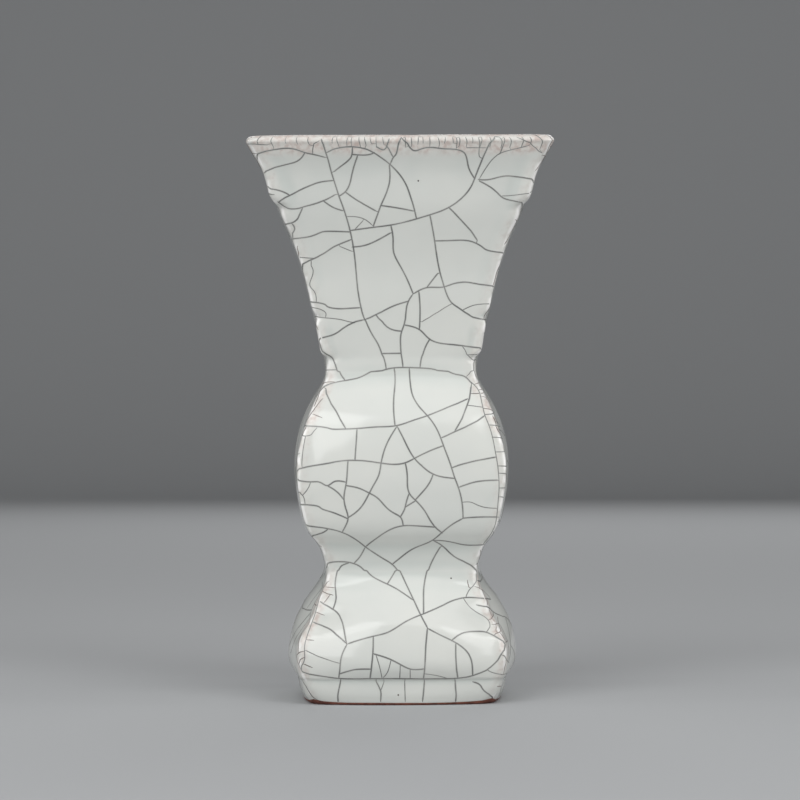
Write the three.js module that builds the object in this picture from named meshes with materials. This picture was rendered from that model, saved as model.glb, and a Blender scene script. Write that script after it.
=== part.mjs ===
// A square gu vase: a tall flaring mouth, a cushion-shaped drum and a spreading skirt on a low foot.
// It is slab-built stoneware. Each storey is four walls mitred along the corners, and a floor slab
// rests on the foot walls. Every joint is a thin line of slip, kept here as a gap.
// Millimetres, +Z up. The origin is the centre of the base, and the front wall faces -Y.
import * as THREE from 'three';

// Heights of the joints and of the widest places
const footHeight = 9;
const skirtWidestHeight = 15.5;
const waistHeight = 46;
const drumWidestHeight = 82.5;
const neckHeight = 115;
const vaseHeight = 195;

// Heights part of the way up a storey
const onSkirt = (share) => THREE.MathUtils.lerp(footHeight, waistHeight, share);
const onDrum = (share) => THREE.MathUtils.lerp(waistHeight, neckHeight, share);
const onTrumpet = (share) => THREE.MathUtils.lerp(neckHeight, vaseHeight, share);

// Widths across the middles of two opposite faces
const footWidth = 70;
const footTopWidth = 74.4;
const skirtWidth = 80.8;
const waistWidth = 55;
const drumWidth = 76;
const neckWidth = 53.6;
const mouthWidth = 105;

// Walls, floor, lip and slip joints
const wall = 4.5;
const footWall = 5.5;
const floorThickness = 5;
const lipThickness = 4.6;
const slipLine = 0.3;

// Roundness of the four upright corners
const mouthCorner = 3.2;
const bodyCorner = 1.9;
const skirtCorner = 2.2;
const footCorner = 4;

// Each corner stands out in soft ribs, one above another: where each starts and ends, how far it
// stands out, how low on it the fullest place is (1 in the middle, less is lower), and how it fades
// out upwards (1 runs out smoothly, less ends more roundly).
const ribs = [
  { low: onSkirt(0.05), high: onSkirt(0.97), depth: 0.8, fullness: 1, fade: 0.5 },
  { low: onDrum(0.04), high: onDrum(0.96), depth: 0.8, fullness: 1, fade: 0.5 },
  { low: onTrumpet(0.056), high: onTrumpet(0.231), depth: 1.5, fullness: 0.6, fade: 0.5 },
  { low: onTrumpet(0.231), high: onTrumpet(0.7), depth: 1, fullness: 0.75, fade: 0.5 },
  { low: onTrumpet(0.7), high: onTrumpet(0.925), depth: 1.7, fullness: 0.6, fade: 1 },
];
// How fast a rib dies away from the corner across the face
const ribSharpness = 13;

// Facets
const columns = 14;
const drumRows = 17;
const skirtRows = 12;
const footRows = 3;
const lipRows = 3;
// The trumpet's rows, counted between its foot, the ends of its ribs and its lip
const trumpetSteps = [2, 5, 7, 5, 3];

const ware = new THREE.MeshStandardMaterial({ color: 0xcfd3cd, roughness: 0.22, metalness: 0 });
const footWare = new THREE.MeshStandardMaterial({ color: 0xc4c9c3, roughness: 0.28, metalness: 0 });
const floorWare = new THREE.MeshStandardMaterial({ color: 0xc9ccc6, roughness: 0.3, metalness: 0 });

// A smooth curve through [height, value] pairs, lowest first.
function curveThrough(pairs) {
  const heights = pairs.map((pair) => pair[0]);
  const values = pairs.map((pair) => pair[1]);
  const curve = new THREE.CubicInterpolant(heights, values, 1, [0]);
  return (height) => curve.evaluate(THREE.MathUtils.clamp(height, heights[0], heights.at(-1)))[0];
}

// Pairs for a stretch of profile: shares of the way from one height and width to another.
function stretch(fromHeight, toHeight, fromWidth, toWidth, shares) {
  return shares.map(([rise, spread]) => [
    THREE.MathUtils.lerp(fromHeight, toHeight, rise),
    THREE.MathUtils.lerp(fromWidth, toWidth, spread) / 2,
  ]);
}

const footFace = curveThrough(
  stretch(0, footHeight, footWidth, footTopWidth, [[0, -0.12], [0.1, 0.15], [0.5, 0.58], [1, 1]]),
);

const skirtFace = curveThrough([
  ...stretch(footHeight, skirtWidestHeight, footTopWidth, skirtWidth,
    [[0, 0.1], [0.28, 0.5], [0.65, 0.87]]),
  ...stretch(skirtWidestHeight, waistHeight, skirtWidth, waistWidth,
    [[0, 0], [0.177, 0.039], [0.295, 0.1], [0.42, 0.2], [0.58, 0.4], [0.7, 0.59], [0.8, 0.77],
      [0.9, 0.91], [1, 1]]),
]);

const drumFace = curveThrough([
  ...stretch(waistHeight, drumWidestHeight, waistWidth, drumWidth,
    [[0, 0], [0.1, 0.05], [0.17, 0.12], [0.23, 0.24], [0.29, 0.39], [0.345, 0.55], [0.41, 0.67],
      [0.52, 0.79], [0.65, 0.875], [0.8, 0.96]]),
  ...stretch(drumWidestHeight, neckHeight, drumWidth, neckWidth,
    [[0, 0], [0.17, 0.03], [0.305, 0.1], [0.434, 0.2], [0.563, 0.345], [0.69, 0.53], [0.79, 0.71],
      [0.88, 0.87], [0.95, 0.955], [1, 1]]),
]);

const trumpetFace = curveThrough(
  stretch(neckHeight, vaseHeight - lipThickness / 2, neckWidth, mouthWidth,
    [[0, 0], [0.06, 0.019], [0.14, 0.074], [0.24, 0.152], [0.32, 0.214], [0.4, 0.268], [0.48, 0.337],
      [0.56, 0.424], [0.64, 0.525], [0.72, 0.626], [0.81, 0.714], [0.9, 0.82], [0.95, 0.915], [1, 1]]),
);

// How far the middle of a face stands out past the line of its corners, by height
const swell = curveThrough([
  [0, 4],
  [footHeight, 2.9],
  [onSkirt(0.11), 4.5],
  [onSkirt(0.35), 4.6],
  [onSkirt(0.57), 6.2],
  [onSkirt(0.8), 3.8],
  [onSkirt(0.92), 2.3],
  [waistHeight, 1.3],
  [onDrum(0.17), 2],
  [onDrum(0.53), 2.4],
  [onDrum(0.75), 3],
  [onDrum(0.9), 2],
  [neckHeight, 0.7],
  [onTrumpet(0.056), 1.3],
  [onTrumpet(0.11), 1.1],
  [onTrumpet(0.225), 1.2],
  [onTrumpet(0.44), 1.4],
  [onTrumpet(0.7), 1.2],
  [onTrumpet(0.875), 0.4],
  [onTrumpet(0.95), 0],
]);

const cornerRound = curveThrough([
  [0, footCorner],
  [footHeight, footCorner / 2 + skirtCorner / 2],
  [skirtWidestHeight, skirtCorner],
  [waistHeight, bodyCorner],
  [neckHeight, bodyCorner],
  [vaseHeight, mouthCorner],
]);

// How far the rib at this height stands out: it swells quickly at its low end and fades upwards.
function ribDepth(height) {
  const rib = ribs.find(({ low, high }) => height > low && height < high);
  if (!rib) return 0;
  const share = ((height - rib.low) / (rib.high - rib.low)) ** rib.fullness;
  return rib.depth * Math.sin(Math.PI * share) ** (share < 0.5 ? 0.5 : rib.fade);
}

// The plan of the vase at one height: half-widths at the middle of a face and at its corners, the
// corner's rib and its roundness. The ribs are on the outside only.
function plan(height, faceHalfWidth, inset = 0) {
  const face = faceHalfWidth - inset;
  return {
    height,
    face,
    corner: face - swell(height),
    rib: inset > 0 ? 0 : ribDepth(height),
    round: Math.max(cornerRound(height) - inset / 2, 1.5),
  };
}

// The wall's width measured level, where the wall leans out or in.
function levelWidth(faceCurve, height, thickness) {
  const step = 0.5;
  const slope = (faceCurve(height + step) - faceCurve(height - step)) / (2 * step);
  return thickness * Math.min(Math.hypot(1, slope), 1.5);
}

// Above 0 outside the plan, below 0 inside it: two crossed cushions with ribbed, rounded corners.
function outside(x, y, { face, corner, rib, round }) {
  const cushion = (along) => {
    const share = Math.min(Math.abs(along) / corner, 1);
    return corner + (face - corner) * (1 - share ** 2) + rib * share ** ribSharpness;
  };
  const acrossX = Math.abs(x) - cushion(y);
  const acrossY = Math.abs(y) - cushion(x);
  const blend = 1.17 * round;
  const overlap = Math.max(blend - Math.abs(acrossX - acrossY), 0) / blend;
  return Math.max(acrossX, acrossY) + (overlap * overlap * blend) / 4;
}

// Where a ray from the slip joint's apex meets the plan. Lean is -1 at one mitre and 1 at the other.
function pointOn(level, lean) {
  const apex = -slipLine / Math.SQRT2;
  let [near, far] = [0, level.face + level.rib + level.round];
  for (let i = 0; i < 40; i++) {
    const middle = (near + far) / 2;
    if (outside(lean * middle, apex - middle, level) > 0) far = middle;
    else near = middle;
  }
  return [lean * near, apex - near, level.height];
}

// A closed solid between two skins, each a grid of rows and columns of points.
function solidBetween(outerRows, innerRows) {
  const rows = outerRows.length;
  const across = outerRows[0].length;
  const positions = [...outerRows, ...innerRows].flat().flat();
  const outer = (row, column) => row * across + column;
  const inner = (row, column) => (rows + row) * across + column;
  const faces = [];
  const quad = (a, b, c, d) => faces.push(a, b, c, a, c, d);
  for (let row = 0; row < rows - 1; row++) {
    for (let column = 0; column < across - 1; column++) {
      quad(outer(row, column), outer(row, column + 1), outer(row + 1, column + 1), outer(row + 1, column));
      quad(inner(row, column), inner(row + 1, column), inner(row + 1, column + 1), inner(row, column + 1));
    }
    quad(outer(row, 0), outer(row + 1, 0), inner(row + 1, 0), inner(row, 0));
    quad(outer(row, across - 1), inner(row, across - 1), inner(row + 1, across - 1), outer(row + 1, across - 1));
  }
  const top = rows - 1;
  for (let column = 0; column < across - 1; column++) {
    quad(outer(0, column), inner(0, column), inner(0, column + 1), outer(0, column + 1));
    quad(outer(top, column), outer(top, column + 1), inner(top, column + 1), inner(top, column));
  }
  const geometry = new THREE.BufferGeometry();
  geometry.setAttribute('position', new THREE.Float32BufferAttribute(positions, 3));
  geometry.setIndex(faces);
  geometry.computeVertexNormals();
  return geometry;
}

// Columns crowd towards the corners, where the plan turns.
const leans = Array.from({ length: columns + 1 }, (_, i) => Math.sin((i / columns - 0.5) * Math.PI));
const skin = (levels) => levels.map((level) => leans.map((lean) => pointOn(level, lean)));

// Heights from low to high, both included, closer together near each end.
function crowdedHeights(low, high, steps) {
  return Array.from({ length: steps + 1 }, (_, i) => (
    THREE.MathUtils.lerp(low, high, (1 - Math.cos((Math.PI * i) / steps)) / 2)
  ));
}

const evenHeights = (low, high, steps) => (
  Array.from({ length: steps + 1 }, (_, i) => THREE.MathUtils.lerp(low, high, i / steps))
);

// One wall of a storey, facing -Y, with its rows at the given heights.
function wallGeometry(faceCurve, heights, thickness, lip = []) {
  const outer = heights.map((height) => plan(height, faceCurve(height)));
  const inner = heights.map((height) => (
    plan(height, faceCurve(height), levelWidth(faceCurve, height, thickness))
  ));
  return solidBetween(
    skin([...outer, ...lip.map((row) => row.outer)]),
    skin([...inner, ...lip.map((row) => row.inner)]),
  );
}

// The rounded lip: its outer and inner edges close in on each other up to a narrow top.
function lipLevels() {
  const radius = lipThickness / 2;
  const middle = mouthWidth / 2 - radius;
  return Array.from({ length: lipRows }, (_, i) => {
    const turn = THREE.MathUtils.degToRad((75 * (i + 1)) / lipRows);
    const height = vaseHeight - radius + (radius * Math.sin(turn)) / Math.sin(THREE.MathUtils.degToRad(75));
    return {
      outer: plan(height, middle + radius * Math.cos(turn)),
      inner: plan(height, middle - radius * Math.cos(turn)),
    };
  });
}

// The floor fills the skirt down to the foot walls and is held off both by the slip.
function floorGeometry() {
  const low = footHeight + slipLine / 2;
  const levels = Array.from({ length: 3 }, (_, i) => {
    const height = low + (floorThickness * i) / 2;
    const inset = levelWidth(skirtFace, height, wall) + slipLine;
    return plan(height, skirtFace(height), inset);
  });
  const ring = (level) => {
    const side = leans.slice(0, -1).map((lean) => pointOn(level, lean));
    return [0, 1, 2, 3].flatMap((turn) => side.map(([x, y, z]) => (
      new THREE.Vector3(x, y, z).applyAxisAngle(new THREE.Vector3(0, 0, 1), (turn * Math.PI) / 2).toArray()
    )));
  };
  const rings = levels.map(ring);
  const around = rings[0].length;
  const faces = [];
  for (let row = 0; row < rings.length - 1; row++) {
    for (let i = 0; i < around; i++) {
      const next = (i + 1) % around;
      const [a, b] = [row * around + i, row * around + next];
      faces.push(a, b, b + around, a, b + around, a + around);
    }
  }
  const bottomCentre = rings.length * around;
  const topCentre = bottomCentre + 1;
  for (let i = 0; i < around; i++) {
    const next = (i + 1) % around;
    const lastRow = (rings.length - 1) * around;
    faces.push(bottomCentre, next, i);
    faces.push(topCentre, lastRow + i, lastRow + next);
  }
  const centres = [0, 0, levels[0].height, 0, 0, levels.at(-1).height];
  const geometry = new THREE.BufferGeometry();
  geometry.setAttribute('position', new THREE.Float32BufferAttribute([...rings.flat(2), ...centres], 3));
  geometry.setIndex(faces);
  geometry.computeVertexNormals();
  return geometry;
}

// Four copies of one wall, turned a quarter each time.
function storey(name, geometry, material) {
  const group = new THREE.Group();
  ['front', 'right', 'back', 'left'].forEach((side, turn) => {
    const mesh = new THREE.Mesh(geometry, material);
    mesh.name = `${name}_${side}`;
    mesh.rotation.z = (turn * Math.PI) / 2;
    group.add(mesh);
  });
  return group;
}

const halfSlip = slipLine / 2;
const footGeometry = wallGeometry(footFace, evenHeights(0, footHeight - halfSlip, footRows), footWall);
const skirtGeometry = wallGeometry(
  skirtFace, evenHeights(footHeight + halfSlip, waistHeight - halfSlip, skirtRows), wall,
);
const drumGeometry = wallGeometry(
  drumFace, evenHeights(waistHeight + halfSlip, neckHeight - halfSlip, drumRows), wall,
);
const trumpetEnds = [
  neckHeight + halfSlip,
  ...ribs.slice(2).map(({ low }) => low),
  ribs.at(-1).high,
  vaseHeight - lipThickness / 2,
];
const trumpetHeights = trumpetSteps.flatMap((steps, i) => (
  crowdedHeights(trumpetEnds[i], trumpetEnds[i + 1], steps).slice(i ? 1 : 0)
));
const trumpetGeometry = wallGeometry(trumpetFace, trumpetHeights, wall, lipLevels());
const floor = new THREE.Mesh(floorGeometry(), floorWare);
floor.name = 'floor_slab';

const vase = new THREE.Group();
vase.add(
  storey('foot_wall', footGeometry, footWare),
  floor,
  storey('skirt_wall', skirtGeometry, ware),
  storey('drum_wall', drumGeometry, ware),
  storey('trumpet_wall', trumpetGeometry, ware),
);

export default vase;
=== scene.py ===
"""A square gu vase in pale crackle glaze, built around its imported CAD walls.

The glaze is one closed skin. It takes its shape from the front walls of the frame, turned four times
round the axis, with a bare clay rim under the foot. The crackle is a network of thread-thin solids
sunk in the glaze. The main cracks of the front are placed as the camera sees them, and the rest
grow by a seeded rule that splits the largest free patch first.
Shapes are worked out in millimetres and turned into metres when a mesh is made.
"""
import math
import random

import bpy
import numpy as np
from mathutils import Matrix, Vector, noise
from mathutils.bvhtree import BVHTree


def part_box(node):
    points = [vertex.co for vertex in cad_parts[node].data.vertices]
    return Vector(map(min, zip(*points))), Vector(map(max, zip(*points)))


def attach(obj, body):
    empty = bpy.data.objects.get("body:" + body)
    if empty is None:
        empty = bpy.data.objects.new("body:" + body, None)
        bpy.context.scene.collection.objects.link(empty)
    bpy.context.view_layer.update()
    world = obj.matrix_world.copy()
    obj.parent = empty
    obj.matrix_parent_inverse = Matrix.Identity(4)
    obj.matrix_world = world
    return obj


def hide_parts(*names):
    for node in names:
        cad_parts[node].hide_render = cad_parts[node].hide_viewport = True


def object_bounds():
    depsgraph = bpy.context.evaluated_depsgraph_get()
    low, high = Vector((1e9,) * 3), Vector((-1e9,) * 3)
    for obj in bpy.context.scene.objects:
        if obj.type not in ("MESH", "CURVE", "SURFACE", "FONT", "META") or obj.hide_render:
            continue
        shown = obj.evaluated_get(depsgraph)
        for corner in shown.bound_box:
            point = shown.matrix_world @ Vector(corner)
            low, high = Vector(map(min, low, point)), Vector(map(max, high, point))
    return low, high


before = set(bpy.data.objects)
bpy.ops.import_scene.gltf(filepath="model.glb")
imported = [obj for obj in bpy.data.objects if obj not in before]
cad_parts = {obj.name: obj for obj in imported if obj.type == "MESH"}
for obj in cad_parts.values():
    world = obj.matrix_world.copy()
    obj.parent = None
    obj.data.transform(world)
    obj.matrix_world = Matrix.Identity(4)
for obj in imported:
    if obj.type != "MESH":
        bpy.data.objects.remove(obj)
cad_box = [list(corner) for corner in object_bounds()]

MM = 0.001
SIDES = 4
STOREYS = ("foot", "skirt", "drum", "trumpet")
DIRECTIONS = ("front", "right", "back", "left")

# Camera, as fitted to the photograph
CAMERA_DISTANCE = 1100.0
CAMERA_HEIGHT = 105.0
CAMERA_SIDE = -0.4
CAMERA_ROLL = math.radians(0.25)
LENS = 139.4
SENSOR = 36.0
# The placed cracks are given on a plane this far in front of the axis
FRONT_PLANE = 33.0

# Points of a wall that are closer together than this share a row, and a column
ROW_GAP = 0.05
LEAN_GAP = 0.01
# The higher, the closer to a corner the skin begins to close over the slip joint
MITRE_SHARPNESS = 6

# The bare clay under the foot, lower in the middle of a side than at the corners
CLAY_HEIGHT = 0.8
CLAY_AT_CORNERS = 1.9
# The skin at the clay: its thickness, its lap behind the clay, its first row above the edge, and how
# far off the ground it is under the foot
GLAZE_COAT = 0.3
GLAZE_LAP = 0.2
GLAZE_ROUND = 0.35
OFF_GROUND = 0.3
# The recess under the floor, and where the foot's straight inside begins
RECESS_HEIGHT = 9.0
RECESS_ROUND = 1.2
FOOT_INSIDE_TOP = 5.0
# Above the floor slab: the end of the inside walls, the corner below them, and the glaze
FLOOR_CLEAR = 0.8
FLOOR_CORNER = 0.3
FLOOR_GLAZE = 0.05
# Rings of a level face, as shares of its width: next to its corner, at its edge, round its middle
CORNER_SHARE = 0.995
EDGE_SHARE = 0.97
MIDDLE_SHARE = 0.02

# Fineness of the skin: columns for each of a wall's, and the distances between rows
COLUMNS_PER_STEP = 5
OUTER_ROW = 0.9
INNER_ROW = 4.5
FLOOR_ROW = 8.0
RECESS_ROW = 2.5
UNDER_ROW = 1.8
FOOT_ROW = 1.5
# The sharpest turn between rows, in radians, outside and inside
ROW_TURN = 0.16
INNER_TURN = 0.35
# Inside, only every third ring of the walls is used below these
LIP_RINGS = 7
INNER_EVERY = 3

# The unevenness of the hand-built walls: its depth, and the width and share of its two waves
UNEVEN_DEPTH = 0.11
BROAD_WAVE, BROAD_SHARE = 17, 0.7
SMALL_WAVE, SMALL_SHARE = 7, 0.25
# Small lumps in the glaze on the corners: how far apart and deep, and where they fade out
CORNER_LUMP = 2.6
LUMP_DEPTH, LUMP_SPREAD = 0.07, 0.10
LUMPY_FULL, LUMPY_NONE = 1.5, 5.0

# The rim is pressed down from this height; under the CAD box's top stay the rim and the cracks on it
RIM_PRESSED_FROM = 192.0
RIM_MARGIN = 0.05
CRACK_MARGIN = 0.01

# Colours
GLAZE_COOL = (0.630, 0.648, 0.618)
GLAZE_WARM = (0.680, 0.688, 0.650)
GLAZE_POOLED = (0.570, 0.605, 0.575)
GLAZE_THIN = (0.680, 0.640, 0.600)
GLAZE_BLUSH = (0.560, 0.475, 0.435)
# Near-white painted highlight along the corners' edges, in place of the lamps' glints
PAINTED_GLINT = (0.860, 0.850, 0.830)
CLAY_DARK = (0.085, 0.026, 0.018)
CLAY_LIGHT = (0.19, 0.062, 0.040)
BACKDROP = (0.46, 0.47, 0.48)
GLAZE_IOR = 1.52
# Stains: the material's name, and its colour from dark to light
STAIN = ("crack_stain", (0.35, 0.355, 0.34), (0.47, 0.475, 0.45))
INK = ("crack_ink", (0.10, 0.101, 0.098), (0.22, 0.22, 0.21))
TEA = ("crack_tea", (0.15, 0.13, 0.12), (0.30, 0.265, 0.245))
PIT = ("pit_stain", (0.05, 0.045, 0.04), (0.12, 0.10, 0.09))

# How thin the glaze runs on the corners, by height in mm, from 0 to 1
THIN_HEIGHTS = (0, 6, 11, 16, 28, 40, 47, 60, 92, 100, 109, 116, 150, 180, 187)
THIN_SHARES = (0.3, 0.2, 0.5, 0.6, 0.8, 0.8, 0.3, 0.2, 0.35, 0.8, 0.8, 0.25, 0.2, 0.35, 0.3)
# The width of that band beside a corner, and the share of it that is thin in full
THIN_BAND = 5.2
THIN_FULL_SHARE = 0.35
# The heights where the rim's own thin glaze sets in, and how thin it is
RIM_THIN_FROM, RIM_THIN_FULL = 187.0, 190.5
RIM_THIN_SHARE = 0.9
# Its patches: their size, the least thinness in them, and what they add to it
THIN_PATCH = 2.6
PATCHY_LEAST, PATCHY_GAIN = 0.25, 1.2
MOTTLE_CONTRAST = 0.9
# The painted highlight along a corner's edge, a pale line: its half-width, where it has faded, and its
# stretches
GLINT_FULL, GLINT_NONE = 0.5, 1.5
GLINT_STRETCH = 3.2
GLINT_BREAKS = (0.3, 0.6)
# Glaze pools where the skin is hollow, measured over so many rows
POOL_ROWS = 2
POOL_FROM, POOL_SPREAD = 0.01, 0.10
POOL_SHARE = 0.6

# A crack's solid: its width, its height above the glaze and its depth
STAIN_SOLID = (0.66, 0.030, 0.15)
INK_SOLID = (0.25, 0.040, 0.25)
HAIR_SOLID = (0.62, 0.035, 0.2)
# The share of its width at its very end, and how many steps it takes to widen
END_WIDTH = 0.45
END_STEPS = 2
# How far apart a crack's points are, and when two of them are in one place
CRACK_STEP = 0.5
SAME_PLACE = CRACK_STEP / 10
# How wide the thinner cracks are beside the main ones, and the patches that they divide
PLACED_FINE = 0.6
GROWN_FINE = 0.5
FINE_PATCH = 3.2
# A grown main crack is the wider, the more its patch was too large
GROWN_LEAST, GROWN_GAIN = 0.45, 0.3
WIDTH_SPREAD = (0.9, 1.1)

# Line ends this close to another line are joined to it, and those this close to a corner run on round it
CRACK_JOIN = 1.7
CORNER_REACH = 7.0
MAIN_RUN_ON = 9.0
FINE_RUN_ON = 4.0
# Their heading is taken over so many steps
HEADING_STEPS = 8
# A placed crack is followed this far round a corner
SEEN_PAST_CORNER = 8.0
# Shares of the way back to its neighbour that are tried for an end
LED_BACK = (0.1, 0.2, 0.3, 0.45, 0.6, 0.8)

# A growing crack's stride, how near it meets another, and its steady and its changing turn in radians
STRIDE = 0.7
MEETING_GAP = 0.75
STEADY_BEND = 0.011
WANDER = 0.055
# How far its first heading is off the nearest crack's direction
HEADING_SPREAD = 0.3
# Lines with more places than this are smoothed through every other one
SHORT_LINE = 6
# How far a main crack grows, and a fine one for each mm of its patch
MAIN_REACH = 77.0
FINE_REACH = 6
# Cracks up to this far from a new one's middle are looked at, and a little further
LOOK_AROUND = 42
LOOK_MARGIN = 4

# Grown cracks keep off the front further in from its corners than this, where they crowd and elsewhere
CROWDED_BAND = 5.5
CORNER_BAND = 1.2
# The heights where they crowd at the corners: the skirt and the drum's shoulder
CROWDED_HEIGHTS = ((12, 42), (92, 112))
# Half-widths of the free patches that are left, and how far they spread about these
OPEN_PATCH = 8.0
INSIDE_PATCH = 7.0
RECESS_PATCH = 5.5
WIDEST_PATCH = 60.0
PATCH_SPREAD = (0.8, 1.25)
# This near to a corner: the half-width at it, and its gain for each mm away
CORNER_ZONE = 12
CROWDED_PATCH = (1.2, 0.3)
CORNER_PATCH = (2.8, 0.35)
# Under the rim and on it
UNDER_RIM_FROM, UNDER_RIM_PATCH = 176, 4.5
RIM_FROM, RIM_PATCH = 187, 1.9
INSIDE_RIM_PATCH = 2.4
# How many places are looked at
OUTSIDE_PLACES = 12000
INSIDE_PLACES = 5000
RECESS_PLACES = 700
# Rows without cracks round the floor's middle, and between the recess and the clay
FLOOR_ROWS = 7
RECESS_ROWS = 12
CRACK_SEED = 195

# Pinholes in the glaze
PINHOLE_SIDES = 10
PINHOLE_PROUD = 0.03
PINHOLE_DEPTH = 0.3
PINHOLE_RADIUS = 0.3
PINHOLE_RADII = (0.2, 0.35)
# On the hidden sides, as shares of a side's width, and rows above the foot and under the lip
PINHOLES_PER_SIDE = 3
PINHOLES_ACROSS = (0.3, 0.7)
PINHOLE_FOOT_ROWS, PINHOLE_LIP_ROWS = 10, 8
PINHOLE_SEED = 7

# The clay rim's section from its upper edge down: the depth in the wall, the share of the clay's
# height, and what is added to it
RIM_SECTION = ((GLAZE_COAT + 0.1, 1, 0.4), (0.12, 1, -0.1), (0.05, 0.45, 0), (0.25, 0, 0.15), (0.75, 0, 0))

# Studio, in metres and watts: each lamp's place, size and power
LAMPS = (
    ("lamp_left", (-0.85, -1.4, 0.75), (1.1, 1.6), 14),
    ("lamp_right", (0.95, -1.3, 0.6), (0.8, 1.6), 11),
    ("lamp_top", (0.0, -0.8, 1.3), (1.3, 1.0), 5.0),
    ("lamp_back", (0.25, 1.6, 1.0), (1.5, 1.2), 7),
    ("glint_left", (-1.2, -0.2, 0.4), (0.2, 0.8), 1.8),
    ("glint_right", (1.2, -0.2, 0.4), (0.2, 0.8), 1.8),
)
LAMP_AIM = (0, 0, 0.1)
ROOM_LIGHT = 0.23
FLOOR_HALF = 4.0
FLOOR_FRONT, FLOOR_BACK = -3.0, 2.2
FLOOR_BEND = 0.8
BACKDROP_TOP = 4.0


def material(name, roughness):
    """A node material with its shader, ready for more nodes."""
    made = bpy.data.materials.new(name)
    made.use_nodes = True
    tree = made.node_tree
    shader = tree.nodes["Principled BSDF"]
    shader.inputs["Roughness"].default_value = roughness
    return made, tree, shader


def add(tree, kind, values=(), **settings):
    """A node with its settings, and values for its inputs by name."""
    node = tree.nodes.new(kind)
    for key, value in settings.items():
        setattr(node, key, value)
    for key, value in dict(values).items():
        node.inputs[key].default_value = value
    return node


def noise_in(tree, size_mm, detail=3.0):
    """Noise in object space whose patches are about size_mm across."""
    place = add(tree, "ShaderNodeTexCoord")
    made = add(tree, "ShaderNodeTexNoise", {"Scale": 1 / (size_mm * MM), "Detail": detail})
    tree.links.new(place.outputs["Object"], made.inputs["Vector"])
    return made.outputs["Fac"]


def painted(tree, name):
    """The number that paint gave to the piece's points under this name."""
    return add(tree, "ShaderNodeAttribute", attribute_name=name).outputs["Fac"]


def mixed(tree, factor, first, second, low=0.35, high=0.65):
    """One colour mixed into another where the factor rises from low to high."""
    spread = add(tree, "ShaderNodeMapRange", {"From Min": low, "From Max": high}, clamp=True)
    tree.links.new(factor, spread.inputs["Value"])
    mix = add(tree, "ShaderNodeMix", data_type="RGBA")
    tree.links.new(spread.outputs["Result"], mix.inputs["Factor"])
    for socket, value in ((mix.inputs[6], first), (mix.inputs[7], second)):
        if isinstance(value, tuple):
            socket.default_value = (*value, 1.0)
        else:
            tree.links.new(value, socket)
    return mix.outputs[2]


def bump(tree, shader, height, strength, distance_mm):
    """Relief on a shader from a height output."""
    node = add(tree, "ShaderNodeBump", {"Strength": strength, "Distance": distance_mm * MM})
    tree.links.new(height, node.inputs["Height"])
    tree.links.new(node.outputs["Normal"], shader.inputs["Normal"])


def glaze_material():
    """A thick grey-white glaze, pinkish where it is thin and greener where it pools, with a painted
    highlight along the corners' edges.
    """
    made, tree, shader = material("pale_glaze", roughness=0.10)
    shader.inputs["IOR"].default_value = GLAZE_IOR
    body = mixed(tree, noise_in(tree, 38), GLAZE_COOL, GLAZE_WARM, low=0.3, high=0.7)
    body = mixed(tree, painted(tree, "pooled"), body, GLAZE_POOLED, low=0.0, high=1.0)
    blush = mixed(tree, noise_in(tree, 1.6, 4.0), GLAZE_THIN, GLAZE_BLUSH, low=0.42, high=0.62)
    body = mixed(tree, painted(tree, "thin"), body, blush, low=0.0, high=1.0)
    # The painted highlight: the near-white line along the corners' edges
    body = mixed(tree, painted(tree, "edge"), body, PAINTED_GLINT, low=0.0, high=1.0)
    tree.links.new(body, shader.inputs["Base Color"])
    bump(tree, shader, noise_in(tree, 4.5, 2.0), strength=0.10, distance_mm=0.12)
    return made


def clay_material():
    """Dark red-brown stoneware, fired bare."""
    made, tree, shader = material("bare_foot_clay", roughness=0.85)
    body = mixed(tree, noise_in(tree, 2.0, 6.0), CLAY_DARK, CLAY_LIGHT)
    tree.links.new(body, shader.inputs["Base Color"])
    bump(tree, shader, noise_in(tree, 0.7, 6.0), strength=0.6, distance_mm=0.25)
    return made


def stain_material(name, dark, light):
    """The stain in a crack, darker in some stretches than in others."""
    made, tree, shader = material(name, roughness=0.25)
    shader.inputs["IOR"].default_value = GLAZE_IOR
    body = mixed(tree, noise_in(tree, 7), dark, light)
    tree.links.new(body, shader.inputs["Base Color"])
    return made


def grouped(values, gap):
    """Index lists of values that lie closer together than gap, lowest first."""
    order = np.argsort(values)
    breaks = np.nonzero(np.diff(values[order]) > gap)[0] + 1
    return np.split(order, breaks)


def wall_rows(node):
    """A front wall's rows, lowest first: (height, leans, outer depths, inner depths), and its mitre."""
    points = np.array([v.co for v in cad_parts[node].data.vertices], float) / MM
    mitre = float((-points[:, 1] - np.abs(points[:, 0])).min())
    depth = -points[:, 1] - mitre
    lean = points[:, 0] / depth
    rows = []
    for level in grouped(points[:, 2], ROW_GAP):
        columns = grouped(lean[level], LEAN_GAP)
        leans = np.array([lean[level][column].mean() for column in columns])
        outer = np.array([depth[level][column].max() for column in columns])
        inner = np.array([depth[level][column].min() for column in columns])
        rows.append((float(points[level, 2].mean()), leans, outer, inner))
    return rows, mitre


def ring(height, leans, depths, mitre, inset=0.0):
    """One closed row of points round the vase, from the front left corner."""
    corner = np.abs(leans) ** MITRE_SHARPNESS
    out = depths - inset + mitre * (1 - corner / 2)
    across = leans * (depths - inset + mitre * corner / 2)
    side = np.stack([across, -out], 1)[:-1]
    quarter = np.array([[0, 1], [-1, 0]])
    sides = [side]
    for _ in range(SIDES - 1):
        sides.append(sides[-1] @ quarter)
    flat = np.concatenate(sides)
    return np.column_stack([flat, np.full(len(flat), height)])


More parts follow.
